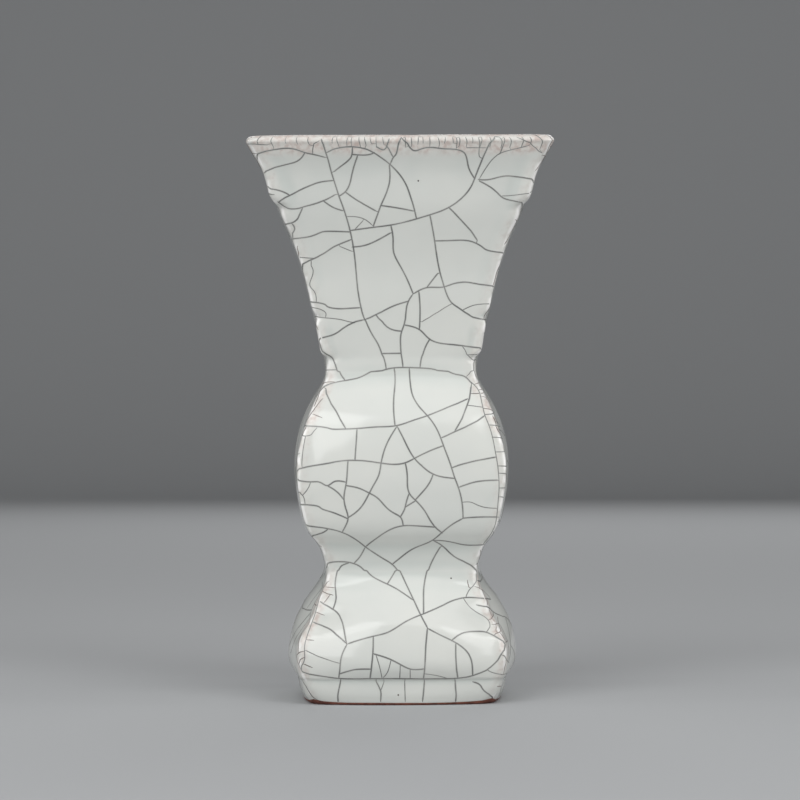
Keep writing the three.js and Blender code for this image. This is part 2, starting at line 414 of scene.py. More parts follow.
def spline(knots, values, at):
    """A natural cubic spline through values at the knots, read at the given places."""
    count = len(knots)
    gaps = np.diff(knots)
    shape = (-1,) + (1,) * (values.ndim - 1)
    slopes = np.diff(values, axis=0) / gaps.reshape(shape)
    system = np.eye(count)
    bends = np.zeros_like(values)
    for i in range(1, count - 1):
        system[i, i - 1:i + 2] = gaps[i - 1], 2 * (gaps[i - 1] + gaps[i]), gaps[i]
        bends[i] = 6 * (slopes[i] - slopes[i - 1])
    bends = np.linalg.solve(system, bends.reshape(count, -1)).reshape(values.shape)
    i = np.clip(np.searchsorted(knots, at, side="right") - 1, 0, count - 2)
    gap = gaps[i].reshape(shape)
    after = (at - knots[i]).reshape(shape)
    before = gap - after
    return (
        (bends[i] * before ** 3 + bends[i + 1] * after ** 3) / (6 * gap)
        + (values[i] / gap - bends[i] * gap / 6) * before
        + (values[i + 1] / gap - bends[i + 1] * gap / 6) * after
    )


def finer_ring(points):
    """A ring with COLUMNS_PER_STEP points for each one, on a smooth closed curve."""
    wrap = 6
    count = len(points)
    around = np.concatenate([points[-wrap:], points, points[:wrap + 1]])
    lengths = np.linalg.norm(np.diff(around, axis=0), axis=1)
    knots = np.concatenate([[0], np.cumsum(lengths)])
    steps = np.arange(count * COLUMNS_PER_STEP) / COLUMNS_PER_STEP + wrap
    at = np.interp(steps, np.arange(len(knots)), knots)
    return spline(knots, around, at)


def finer_rows(rings, spacing, sharpest=ROW_TURN):
    """More rings between those given, about spacing apart and closer where they turn, on smooth curves."""
    stack = np.array(rings)
    steps = np.diff(stack, axis=0)
    lengths = np.linalg.norm(steps, axis=2)
    ahead = steps / np.maximum(lengths, 1e-9)[..., None]
    turns = np.arccos(np.clip((ahead[1:] * ahead[:-1]).sum(2).mean(1), -1, 1))
    turns = np.maximum(np.append(turns, 0), np.append(0, turns))
    knots = np.concatenate([[0], np.cumsum(lengths.mean(1))])
    places = [0.0]
    for low, high, turn in zip(knots[:-1], knots[1:], turns):
        count = max(1, round((high - low) / spacing), math.ceil(turn / sharpest))
        places.extend(np.linspace(low, high, count + 1)[1:])
    return list(spline(knots, stack, np.array(places)))


def straight_rows(first, last, spacing):
    """Rings on straight lines between two rings, both included."""
    count = max(1, round(float(np.linalg.norm(last - first, axis=1).mean()) / spacing))
    return [first + (last - first) * i / count for i in range(count + 1)]


def drawn_in(points, share):
    """A ring drawn in towards the axis on its own level."""
    return points * (share, share, 1)


def rings_of(storey, outer=True, inset=0.0):
    """The fine rings of one storey's outside or inside, lowest first, drawn into the wall by inset."""
    rows, mitre = wall_rows(f"{storey}_wall_front")
    if outer:
        return [finer_ring(ring(height, leans, out, mitre, inset)) for height, leans, out, _ in rows]
    return [finer_ring(ring(height, leans, within, mitre, -inset)) for height, leans, _, within in rows]


def corner_share(points):
    """0 in the middle of a side and 1 on its corners."""
    flat = np.abs(points[..., :2])
    return flat.min(-1) / np.maximum(flat.max(-1), 1e-6)


def from_corner(grid):
    """How far each point is from the nearest corner along its side, in mm."""
    return (1 - corner_share(grid)) * np.abs(grid[..., :2]).max(-1)


def at_height(rings, height):
    """A ring on the slope of the lowest two, at one height or at one for each of its points."""
    low, high = rings[:2]
    share = (height - low[:, 2]) / (high[:, 2] - low[:, 2])
    return low + (high - low) * share[:, None]


def clay_top(rings):
    """How high the bare clay reaches at each point round the foot."""
    return CLAY_HEIGHT + (CLAY_AT_CORNERS - CLAY_HEIGHT) * corner_share(rings[0]) ** 5


def make_skin():
    """The rings of the whole skin, from the middle of the underside over the lip to the inside floor."""
    foot_out = rings_of("foot")
    foot_in = rings_of("foot", outer=False)
    under_out = rings_of("foot", inset=GLAZE_COAT)
    under_in = rings_of("foot", outer=False, inset=GLAZE_COAT)
    clay = clay_top(foot_out)

    recess = foot_in[-1].copy()
    recess[:, 2] = RECESS_HEIGHT
    rows = straight_rows(drawn_in(recess, MIDDLE_SHARE), drawn_in(recess, EDGE_SHARE), RECESS_ROW)
    rounded = recess.copy()
    rounded[:, 2] = RECESS_HEIGHT - RECESS_ROUND
    rows += [rounded]
    rows += straight_rows(at_height(foot_in, FOOT_INSIDE_TOP), at_height(foot_in, clay), UNDER_ROW)
    rows += [at_height(under_in, clay - GLAZE_LAP)]
    rows += straight_rows(at_height(under_in, OFF_GROUND), at_height(under_out, OFF_GROUND), FOOT_ROW)
    rows += [at_height(under_out, clay - GLAZE_LAP)]
    glazed_from = len(rows)
    rows += [at_height(foot_out, clay)]
    rows += finer_rows([at_height(foot_out, clay + GLAZE_ROUND), *foot_out[1:]], OUTER_ROW)

    up = [row for storey in STOREYS[1:] for row in rings_of(storey)]
    down = [row for storey in reversed(STOREYS[1:]) for row in reversed(rings_of(storey, outer=False))]
    floor_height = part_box("floor_slab")[1].z / MM
    down = [row for row in down if row[0, 2] > floor_height + FLOOR_CLEAR]
    rows += finer_rows(up + down, OUTER_ROW)[:len(finer_rows(up, OUTER_ROW))]
    lip = len(rows) - 1

    fewer = down[:LIP_RINGS] + down[LIP_RINGS:-1:INNER_EVERY] + down[-1:]
    inside = finer_rows(up[-2:] + fewer, INNER_ROW, INNER_TURN)
    rows += inside[len(finer_rows(up[-2:], INNER_ROW, INNER_TURN)):]
    corner = down[-1].copy()
    corner[:, 2] = floor_height + FLOOR_CORNER
    rows += [drawn_in(corner, CORNER_SHARE)]
    edge = drawn_in(corner, EDGE_SHARE)
    edge[:, 2] = floor_height + FLOOR_GLAZE
    rows += straight_rows(edge, drawn_in(edge, MIDDLE_SHARE), FLOOR_ROW)
    return np.array(rows), glazed_from, lip


def normals_of(grid):
    """Unit normals of a grid of rings, pointing out of the ware."""
    around = np.roll(grid, -1, 1) - np.roll(grid, 1, 1)
    along = np.gradient(grid, axis=0)
    across = np.cross(around, along)
    return across / np.maximum(np.linalg.norm(across, axis=2, keepdims=True), 1e-9)


def hand_made(grid, normals):
    """Soft unevenness of the hand-built walls, always inwards, so that the box isn't exceeded."""
    moved = grid.copy()
    lumpy = 1 - soft_step(from_corner(grid), LUMPY_FULL, LUMPY_NONE)
    elsewhere = Vector((9, 4, 2))
    for r in range(grid.shape[0]):
        for c in range(grid.shape[1]):
            place = Vector(grid[r, c])
            wave = noise.noise(place / BROAD_WAVE) * BROAD_SHARE
            wave += noise.noise(place / SMALL_WAVE + elsewhere) * SMALL_SHARE
            depth = UNEVEN_DEPTH + UNEVEN_DEPTH * wave
            if lumpy[r, c] > 0:
                depth += lumpy[r, c] * (LUMP_DEPTH + LUMP_SPREAD * noise.noise(place / CORNER_LUMP))
            moved[r, c] -= normals[r, c] * depth
    return moved


def inside_box(grid):
    """The grid with its rounded lip pressed down a little, where it stands out of the CAD box."""
    top = cad_box[1][2] / MM - RIM_MARGIN
    held = grid.copy()
    rim = held[:, :, 2] - RIM_PRESSED_FROM
    rim[rim > 0] *= min(1.0, (top - RIM_PRESSED_FROM) / rim.max())
    held[:, :, 2] = rim + RIM_PRESSED_FROM
    return held


def mesh_object(name, points, faces, smooth):
    """A mesh object from points in metres."""
    mesh = bpy.data.meshes.new(name)
    mesh.from_pydata([tuple(p) for p in points], [], faces)
    mesh.polygons.foreach_set("use_smooth", [smooth] * len(mesh.polygons))
    mesh.update()
    made = bpy.data.objects.new(name, mesh)
    bpy.context.scene.collection.objects.link(made)
    return made


def grid_faces(rows, columns):
    """Faces between closed rings of points."""
    faces = []
    for r in range(rows - 1):
        for c in range(columns):
            n = (c + 1) % columns
            faces.append((r * columns + c, r * columns + n, (r + 1) * columns + n, (r + 1) * columns + c))
    return faces


def grid_mesh(name, grid, closed_ends=True):
    """A smooth mesh from rings of points in millimetres, its ends closed with fans where told."""
    rows, columns = grid.shape[:2]
    points = list((grid * MM).reshape(-1, 3))
    faces = grid_faces(rows, columns)
    if closed_ends:
        for row, turn in ((0, -1), (rows - 1, 1)):
            middle = len(points)
            points.append(grid[row].mean(0) * MM)
            for c in range(columns):
                pair = (row * columns + c, row * columns + (c + 1) % columns)[::turn]
                faces.append((*pair, middle))
    return mesh_object(name, points, faces, True)


def paint(piece, name, values):
    """A number for each point of a piece, which its material reads."""
    attribute = piece.data.attributes.new(name, "FLOAT", "POINT")
    spare = np.zeros(len(piece.data.vertices) - values.size)
    attribute.data.foreach_set("value", np.concatenate([values.ravel(), spare]).astype(np.float32))


# Cracks on the front, as the camera sees them: mm to the right of the axis and above the camera
FRONT_CRACKS = (
    # The trumpet, middle
    ((-27.4, 89.9), (-26, 85.3), (-24.2, 79), (-22.1, 72.3), (-19.7, 65.5), (-17.6, 58.3), (-16.2, 50.7),
     (-15.2, 40.3), (-13.8, 31.7), (-12.6, 27.9), (-10.1, 22.8), (-6.9, 16.6), (-5.2, 11)),
    ((-31.2, -0.6), (-29.4, 1.2), (-26.9, 4.2), (-19.3, 6.7), (-14.8, 7.6), (-8.7, 9.9), (-4.1, 10.8),
     (0.4, 11.2), (7.2, 11), (13.3, 10.1), (18.6, 8.9), (22, 8), (24.3, 5.7)),
    ((-17.4, 58.4), (-9.4, 59.5), (-3.4, 60.3), (5.3, 62.4), (9.9, 63.8), (16.3, 66.3), (20.9, 69.6),
     (24, 73.4), (25.6, 77.1), (27.4, 81.6), (29.3, 86), (32.2, 90.7)),
    ((-25.5, 85.3), (-21.6, 86.8), (-16.3, 87.2), (-11.7, 86.3), (-7.2, 83.7), (-3.8, 81.1), (0.4, 76.4),
     (3.1, 70.4), (5.3, 62.4)),
    ((-4.1, 81), (-4.1, 74.6), (-6, 69.2), (-7.6, 65.4), (-9.6, 59.8)),
    ((-7, 67), (-1.5, 66.2), (4.2, 65.1)),
    ((-15.1, 84), (-17, 77.6), (-19.3, 71.7), (-21.6, 70.1)),
    ((-19.3, 71.7), (-14, 68.1), (-8.7, 65.1)),
    ((-16.8, 86.8), (-17, 84.4), (-20.1, 81), (-23.1, 78.7)),
    ((-17, 84.6), (-14, 84.4), (-10.2, 84.8), (-9.1, 85.3)),
    ((-3.5, 60), (-2.8, 55.6), (-2.6, 51), (-0.3, 46.1), (1.9, 41.9), (4.1, 36.6)),
    ((-17, 52.7), (-13.2, 53.1), (-8.7, 54.8), (-3.8, 57.5)),
    ((9.9, 63.6), (11.4, 55.6), (12.4, 48.8), (13.7, 42.7), (15.2, 37.8), (17.5, 33.4), (21.7, 30.4),
     (27.4, 27.9), (29.6, 27.7)),
    ((-12.5, 27.7), (-8.7, 29.4), (-2.6, 32.4), (2.3, 34)),
    ((4.1, 36.5), (1.9, 32.1), (1.2, 26.8), (0.2, 23.7), (-0.1, 16.9), (0.6, 11.2)),
    ((4.1, 36.5), (8.8, 38.7), (14.4, 38.9), (18.6, 40.2), (22.4, 40.6), (27.4, 39.8), (32.3, 38.9)),
    ((8.8, 38.7), (12.6, 43.6)),
    ((6.1, 37.2), (6.5, 31.3), (6.3, 24.5)),
    ((0.8, 25.9), (3.4, 25.4), (6.5, 24.1), (9.9, 20.9), (13.3, 19.6), (18.6, 19), (23.2, 18.4),
     (28.4, 17.6)),
    ((9.9, 21), (7.6, 16.1), (6.5, 11.2)),
    ((-8.7, 29.4), (-5.7, 26), (-2.6, 24.1), (0.2, 23.7)),
    ((-6.6, 16), (0, 16.1)),
    ((16.5, 66.2), (20.9, 61.7), (24.3, 57.9), (26.2, 55)),
    ((11.4, 54.8), (18.6, 55), (23.9, 54.7), (27.4, 53.1), (32.1, 51.1), (35.8, 50.5)),
    ((0, 90.5), (2.7, 87.4), (8, 86.8), (14.1, 86.6), (19.4, 86.2), (21.7, 85.2), (23.2, 80.2),
     (25.4, 76.1)),
    ((0, 90.5), (-1.1, 87.4), (-2.6, 83.7), (-3.8, 81.1)),
    ((-4.9, 87.4), (-3, 84)),
    ((-8.7, 87.4), (-4.9, 87.6), (-4.1, 90.1)),
    # The trumpet, left
    ((-49.5, 84.5), (-42.7, 86.4), (-38.7, 86.7), (-33.4, 85.3), (-29.8, 84.5), (-26.3, 83.6)),
    ((-46.6, 78.8), (-39.6, 81.1), (-35.6, 82.4), (-33.8, 84.2), (-33.1, 85.3)),
    ((-42.2, 68), (-38.3, 70.5), (-32.9, 73.2), (-28.5, 74.9), (-23.4, 75.6)),
    ((-45.2, 72.9), (-41.8, 72.1), (-38.7, 70.7)),
    ((-42.6, 68.4), (-39.6, 66.3), (-36, 65.9), (-33.4, 66.6), (-27.2, 68.5), (-22.8, 70.7)),
    ((-26.7, 68.5), (-23.5, 66.4), (-20.1, 65.2)),
    ((-34, 66), (-35.2, 63.4), (-37.8, 61), (-40.2, 60.4)),
    ((-37.8, 61), (-36.7, 59), (-37.3, 55.5)),
    ((-37.6, 55.2), (-32.5, 56.1), (-27.2, 57.9), (-22.8, 58.1), (-17.6, 57.9)),
    ((-34, 45.9), (-30.3, 48.6), (-24.7, 51.8), (-17.4, 55.2)),
    ((-31.8, 33.9), (-29.2, 33.6), (-25.4, 32.2), (-22.2, 31.5), (-17.6, 31.6), (-13.8, 31.8)),
    ((-28.5, 20.5), (-25.4, 21.9), (-20.8, 24.1), (-12.5, 27.7)),
    ((-28.2, 20.2), (-25.4, 15.6), (-22.2, 10.6), (-19.3, 6.7)),
    # The trumpet, right
    ((26.5, 75.9), (30, 75.9), (35.3, 77.1), (39.8, 76.9), (45.4, 75.5)),
    ((26.9, 75.4), (33.1, 71.4), (37.6, 68.8), (42.2, 66.3)),
    # The drum
    ((-34.6, -8.7), (-29.4, -9.1), (-23.9, -10), (-19, -10), (-14.8, -9.8), (-8.6, -9.3), (-1.4, -8.8),
     (4.2, -7), (9.3, -5.3), (16.1, -2.5), (22.9, 0.4)),
    ((-36.6, -24.7), (-28.2, -22.3), (-19.7, -20.9), (-15.4, -20.8), (-7.8, -21.6), (1.2, -21.7),
     (5, -19.9), (9.7, -17.6), (14.4, -15.8)),
    ((-2.4, 11), (-2.1, 7.6), (-2.4, 2.4), (-2.6, -3.4), (-2.1, -8.8)),
    ((2.8, 11), (3.1, 6.2), (4.1, 1.2), (6.9, -3.1), (9.7, -6.2), (12.6, -10.7), (14.5, -15.5),
     (17.2, -22.8), (19.3, -29), (20.7, -33.8), (21.3, -40.6)),
    ((-1.4, -9), (0.7, -13.1), (4.5, -20), (7.9, -23.4), (11, -25.5), (14.8, -26.6), (18.2, -27)),
    ((-1.4, -9), (-4.1, -13.4), (-5.9, -17.6), (-6.9, -21.7), (-7.6, -25.5), (-9.7, -29.7),
     (-12.4, -34.8), (-15.5, -38.6), (-18.3, -40.5)),
    ((-15.2, -10), (-15.5, -14.8), (-15.9, -20.7)),
    ((-25.9, 3.8), (-23.1, -2.8), (-19, -10)),
    ((-18.3, -21), (-18.6, -25.2), (-19.1, -29.7), (-19.7, -33.8), (-19, -37.6), (-18.3, -40.3),
     (-20.3, -45.5)),
    ((-36.6, -27.1), (-31.5, -28.2), (-27.6, -28.5), (-25.5, -29.5), (-23.4, -28.3), (-19.1, -28.3)),
    ((-25.5, -29.5), (-22.4, -31.4), (-19.7, -34.5)),
    ((-19, -29.5), (-14.8, -30.3), (-10.9, -32.1), (-8.6, -33.4), (-5.2, -36.9), (-2.4, -39),
     (-0.3, -40.3), (0.7, -43.4)),
    ((1.4, -21.7), (2.1, -26.2), (2.8, -32.1), (5.2, -34.8), (8.6, -39), (11.4, -43.4), (14.3, -45.9)),
    ((11, -25.5), (9.7, -28.6), (7.6, -31.4), (4.8, -34.5)),
    ((2.8, -32.1), (1.7, -35.5), (1.4, -36.9), (-0.3, -40.3)),
    ((1.4, -36.9), (4.8, -34.8)),
    ((-34.9, -36), (-32.2, -36.1), (-27.6, -37.3), (-22.8, -39), (-18.4, -40.9)),
    ((-33.6, -42.8), (-28.6, -43.8), (-24.8, -44.4), (-20.1, -45.7), (-12, -50.8), (-5.9, -54.8),
     (-3.5, -56.3), (-1.4, -58.5), (1.2, -62.3), (4.4, -69.1), (6.9, -74.4), (9, -78.4)),
    ((-12.4, -50.7), (-7.9, -47.2), (-4.1, -44.8), (0.9, -43.3), (4.5, -43.3), (12.1, -43.8)),
    ((-30.9, -46.9), (-27.6, -45.9), (-25.2, -44.5)),
    ((21.4, -40.7), (18.3, -42.4), (13.5, -46.1), (10.6, -48.4), (5, -50.8), (-0.1, -54.2),
     (-3.1, -56.6)),
    ((21.1, -40.7), (27.5, -40.3), (33.2, -40.3)),
    ((10.9, -48.3), (15.5, -48.6), (20.7, -49.7), (24.5, -50), (28.2, -49.8)),
    ((10.9, -48.3), (15.5, -51.4), (20.7, -55.2), (26, -59.3)),
    ((14, -13), (18.3, -11), (23.3, -8.7), (28.6, -5.5)),
    ((24.1, 4.7), (22.9, -1.3), (18.6, -10.5)),
    ((17.4, -23.4), (25, -21.1), (32.4, -19.7)),
    ((20, -30), (25.7, -28.2), (33.2, -27.6)),
    ((-12.4, -50.7), (-14.1, -53.8), (-16.2, -56.2)),
    # The skirt
    ((-26.4, -57.6), (-18, -55.9), (-11.1, -59.7), (-4.8, -63.4), (0.8, -66.6), (4.4, -69.1)),
    ((-1.6, -58.7), (-3.5, -61.4), (-4.8, -63.4)),
    ((13.5, -50.6), (10.1, -56.8), (8.2, -61.9), (7.7, -67.8), (7.7, -73.7)),
    ((-18.6, -84.1), (-9.6, -81.4), (-4.3, -79.9), (0.8, -76.8), (6.3, -74.2), (12.7, -71.5),
     (17.8, -69.1), (22, -68.1), (26.6, -68.2)),
    ((-27.7, -69.5), (-23.5, -72.1), (-20.1, -77.2), (-18.8, -84.1)),
    ((-30, -76.6), (-28.6, -77.2), (-23.5, -79.7), (-18.6, -84.1)),
    ((-18, -56.1), (-21.4, -58.4), (-22.6, -61.9), (-22.4, -67.8), (-23.5, -72.1)),
    ((-18.6, -84.1), (-20.5, -88.2), (-21.1, -92.5), (-21.5, -95.8)),
    ((-9.6, -81.6), (-9.9, -89.1), (-10.7, -95.8)),
    ((9, -78.6), (8.4, -86.5), (7.7, -95.8)),
    ((9, -78.6), (14.4, -81.4), (19.5, -84), (22.9, -87), (24.4, -90.8), (24.6, -94.6)),
    ((17.4, -82.8), (20.7, -80.5), (25.5, -79.7), (29.6, -80.1), (32.8, -81.7), (35.6, -83.9)),
    ((18.8, -84), (19, -91.6), (19.5, -95.7)),
    ((-9.6, -87.4), (-4.3, -89.1), (-0.1, -91.2), (3.3, -92.7), (7.9, -92.6)),
    ((-21.4, -94.4), (-17.1, -93.1), (-10.6, -92.7)),
    ((-34.3, -93.2), (-28.2, -95), (-21.4, -95.9), (-11.1, -96), (1.6, -96), (14.4, -96), (19.5, -95.8),
     (24.3, -95), (29.6, -92.9), (33.2, -89.7), (35.2, -86.5), (35.8, -83.7)),
    # The foot
    ((-20.9, -97), (-21.8, -104)),
    ((-8.6, -97), (-7.1, -100.1), (-7.1, -104)),
    ((8, -97), (7.3, -104)),
    ((18.6, -97), (18.8, -104)),
    ((24.5, -97), (27.1, -98.1), (29.1, -100.6), (31.2, -103)),
    ((-33.8, -97), (-32.4, -99.3), (-28, -103.6)),
)

# Thinner cracks of the front
FINE_FRONT_CRACKS = (
    # The trumpet
    ((-18.6, 63.2), (-14.8, 63), (-11.7, 61.7), (-9.7, 59.9)),
    ((-15.9, 58.8), (-13.2, 61.7)),
    ((7.2, 26.9), (11.8, 29.8), (17.5, 33.2)),
    ((-28.5, 89.1), (-30.5, 85.1)),
    ((-52, 88.2), (-46.2, 87.9)),
    ((-34.8, 49.2), (-29.6, 48.8)),
    ((-21.1, 52.9), (-17.2, 51.3)),
    ((-31, 46.3), (-30.3, 44.2), (-31, 41.7), (-31.4, 39.3), (-30, 37.5), (-29.2, 33.8)),
    ((-31, 32), (-28.6, 31.5), (-26.1, 28.6)),
    ((-29.7, 28.8), (-26.1, 28.3), (-17.6, 26.9), (-15.9, 26.6)),
    ((-26.4, 10.2), (-22.2, 10.4)),
    ((-26.4, 9.6), (-27.1, 7.1), (-28.2, 5.2)),
    ((22.6, 86.9), (29.1, 86.9)),
    ((26.5, 90.4), (26.9, 86.9), (28, 83.3)),
    ((35.3, 90.5), (34.5, 86), (33.8, 84.6)),
    ((27, 76.3), (30, 81.1), (33.6, 84.7), (38, 86.2), (43.3, 87.5)),
    ((39.8, 90.5), (45.1, 87.8), (48.6, 85.1)),
    ((47.5, 90.5), (47.7, 86.2)),
    ((38.4, 70.5), (43.9, 71.2)),
    ((21.1, 30.9), (25.7, 32.8), (31.4, 33.2)),
    ((21.1, 18.4), (22.5, 15.9), (24.3, 14.1), (26.8, 14)),
    ((22.9, 15.6), (27, 15.6)),
    ((25.7, 14), (25, 10.6), (26, 7.4), (27.8, 5.2)),
    ((25, 10.6), (22.8, 8.4)),
    # The drum
    ((-26.2, 8.6), (-27.6, 5.1), (-29.4, 1.6), (-31.5, -1.3), (-32.6, -3.8), (-33.4, -8.7)),
    ((-35.8, -11.4), (-32.9, -12.4), (-30.4, -11.2), (-29, -9.6)),
    ((-32.9, -12.4), (-33.6, -16), (-34.2, -22.6)),
    ((-31.2, -28.2), (-32.2, -30.6), (-34, -32.8)),
    ((-36.6, -31.6), (-34, -32.8), (-33.1, -35.8)),
    ((24, 6.2), (26.4, 3.7), (27.5, 0.5), (28.6, -4.5), (30.7, -10.1), (32.4, -17.6), (33.5, -25),
     (33.7, -31), (33.2, -37.3), (32.8, -40.9), (30.8, -46.2), (28.2, -49.8)),
    ((22.6, -1.8), (28, -2.5)),
    ((28.8, -5), (32.6, -4.2)),
    ((30.3, -8.6), (35.3, -9.3)),
    ((31.2, -12.8), (36, -13.4)),
    ((32.5, -17.9), (36.7, -17.2)),
    ((33.2, -22.7), (37, -22.9)),
    ((33.5, -25.2), (37, -25.8)),
    ((33.7, -30.3), (36.9, -30)),
    ((33.6, -33.3), (36.5, -33.8)),
    ((32.9, -40.3), (35.3, -40.5)),
    ((21.1, -35.2), (24, -35.2), (27.1, -36.5), (32.9, -37.3)),
    # The skirt and the foot
    ((-26.7, -57.9), (-27.3, -65.2), (-31.3, -74), (-32.1, -77.6), (-34.9, -81.3), (-36.5, -84.5),
     (-36.1, -88.5), (-34.3, -93.2)),
    ((-25.9, -59), (-27.4, -66.5), (-29.3, -72.5), (-30.9, -77.2), (-32.3, -81), (-33.3, -86.5),
     (-33.5, -90.1), (-34.3, -93)),
    ((26, -59.4), (22.7, -66.8), (22.3, -68.1)),
    ((21.5, -68.4), (25.5, -72.8), (30.3, -76.4), (29.4, -79.9)),
    ((29.6, -92.9), (32.4, -94.1), (37.2, -94.1)),
    ((34.6, -87.8), (37.2, -90.5), (38, -90.9)),
    ((-32.8, -86.2), (-26.6, -89), (-21.2, -90.7)),
    ((8, -94.3), (12.7, -95), (15.7, -95.8)),
    ((-8.6, -88), (-7.3, -92.5), (-6.6, -95.8)),
    ((-3.5, -89.6), (-5.6, -95), (-6.4, -95.8)),
    ((-0.3, -91.4), (-0.5, -95.8)),
    ((3.1, -92.8), (3.1, -95.8)),
    ((-5.9, -97), (-7.1, -100.1)),
    ((1.2, -97), (1.4, -104)),
    ((35.4, -97), (34.4, -98.8), (34, -101.4)),
)

# Short upright cracks from the lip: their places across the front, where they start, the lowest that
# they end, what is added to that, and how far they lean
RIM_CRACKS = (
    -48.6, -44.2, -39.5, -35.8, -31.9, -23.4, -22.1, -18.3, -16.9, -14.5, -12.6, -10.7, -8.6, -6.4, 1.4,
    3.4, 5.9, 7.4, 9.7, 12.6, 15.2, 17.6, 18.8, 20, 22.1, 24.4, 27.6, 30.4, 33.8, 37.2, 41.6, 44.3,
)
RIM_CRACK_TOP = 90.6
RIM_CRACK_LOWEST = 87.2
RIM_CRACK_FOOT = (-0.4, 1.4)
RIM_CRACK_LEAN = 0.6

# Pinholes of the front, as the camera sees them
FRONT_PINHOLES = ((5.9, 75.5), (17.2, -61.4), (-1.0, -101.6))


class Surface:
    """The skin's grid, on which a place is a column and a row, also between the points."""

    def __init__(self, grid, normals):
        self.grid = grid
        self.normals = normals
        self.rows, self.columns = grid.shape[:2]
        self.column_mm = np.linalg.norm(np.roll(grid, -1, 1) - grid, axis=2)
        self.row_mm = np.linalg.norm(np.diff(grid, axis=0), axis=2)
        self.beside = from_corner(grid)

    def read(self, values, column, row):
        """Values of the grid between its points."""
        row = np.clip(row, 0, self.rows - 1.001)
        c0, r0 = np.floor(column).astype(int), np.floor(row).astype(int)
        fc, fr = (column - c0)[..., None], (row - r0)[..., None]
        c0, c1 = c0 % self.columns, (c0 + 1) % self.columns
        low = values[r0, c0] * (1 - fc) + values[r0, c1] * fc
        high = values[r0 + 1, c0] * (1 - fc) + values[r0 + 1, c1] * fc
        return low * (1 - fr) + high * fr

    def points(self, line):
        """The points of a line of places."""
        return self.read(self.grid, line[:, 0], line[:, 1])

    def cell_mm(self, column, row):
        """How wide and how high the grid's cell is at a place."""
        r, c = int(min(max(row, 0), self.rows - 2)), int(column) % self.columns
        return self.column_mm[r, c], self.row_mm[r, c]

    def beside_corner(self, column, row):
        """How far a place is from the nearest corner along its side, in mm."""
        return self.beside[int(row), int(column) % self.columns]

    def same_turn(self, place, column):
        """A place with its column counted on the same turn round the vase as another column."""
        turns = round((column - place[0]) / self.columns)
        return place[0] + turns * self.columns, place[1]

    def step(self, column, row, heading, length):
        """The place reached by a short move across the skin."""
        wide, high = self.cell_mm(column, row)
        return column + math.cos(heading) * length / wide, row + math.sin(heading) * length / high


def camera_view():
    """The camera's place and turn, in millimetres."""
    place = Vector((CAMERA_SIDE, -CAMERA_DISTANCE, CAMERA_HEIGHT))
    turn = Matrix.Rotation(CAMERA_ROLL, 4, "Y") @ Matrix.Rotation(math.radians(90), 4, "X")
    return Matrix.Translation(place) @ turn


def seen_place(surface, tree, x, z):
    """The place on the skin that the camera sees at a point; None off the skin or far round a corner."""
    view = camera_view()
    eye = view.translation
    target = view @ Vector((x - CAMERA_SIDE, z, FRONT_PLANE - CAMERA_DISTANCE))
    hit, _, face, _ = tree.ray_cast(eye, (target - eye).normalized())
    if hit is None:
        return None
    r, c = divmod(face, surface.columns)
    if r >= surface.rows - 1 or c >= surface.columns / SIDES and surface.beside[r, c] > SEEN_PAST_CORNER:
        return None
    base = surface.grid[r, c]
    across = surface.grid[r, (c + 1) % surface.columns] - base
    along = surface.grid[r + 1, c] - base
    shares = np.linalg.lstsq(np.stack([across, along], 1), np.array(hit) - base, rcond=None)[0]
    return c + float(shares[0]), r + float(shares[1])


def seen_places(surface, tree, seen):
    """The places of a crack's points; an end that isn't on the skin is led back to where it is."""
    found = [seen_place(surface, tree, *point) for point in seen]
    for end, inner in ((0, 1), (-1, -2)):
        for share in LED_BACK:
            if found[end] is None and found[inner] is not None:
                led = np.array(seen[end]) * (1 - share) + np.array(seen[inner]) * share
                found[end] = seen_place(surface, tree, *led)
    return [place for place in found if place is not None]


def smooth_line(places, surface):
    """A line of places through the given ones, about CRACK_STEP apart on the skin."""
    places = np.array(places, float)
    places[:, 0] = np.unwrap(places[:, 0], period=surface.columns)
    lengths = np.linalg.norm(np.diff(surface.points(places), axis=0), axis=1)
    knots = np.concatenate([[0], np.cumsum(np.maximum(lengths, SAME_PLACE))])
    count = max(2, int(knots[-1] / CRACK_STEP) + 1)
    at = np.linspace(0, knots[-1], count)
    if len(places) == 2:
        return np.column_stack([np.interp(at, knots, places[:, i]) for i in (0, 1)])
    return spline(knots, places, at)


def nearest(points, others):
    """How far each point is from the nearest of the others."""
    return np.linalg.norm(points[:, None] - others[None], axis=2).min(1)


def nowhere(column, row):
    """The rule that bars no place."""
    return False


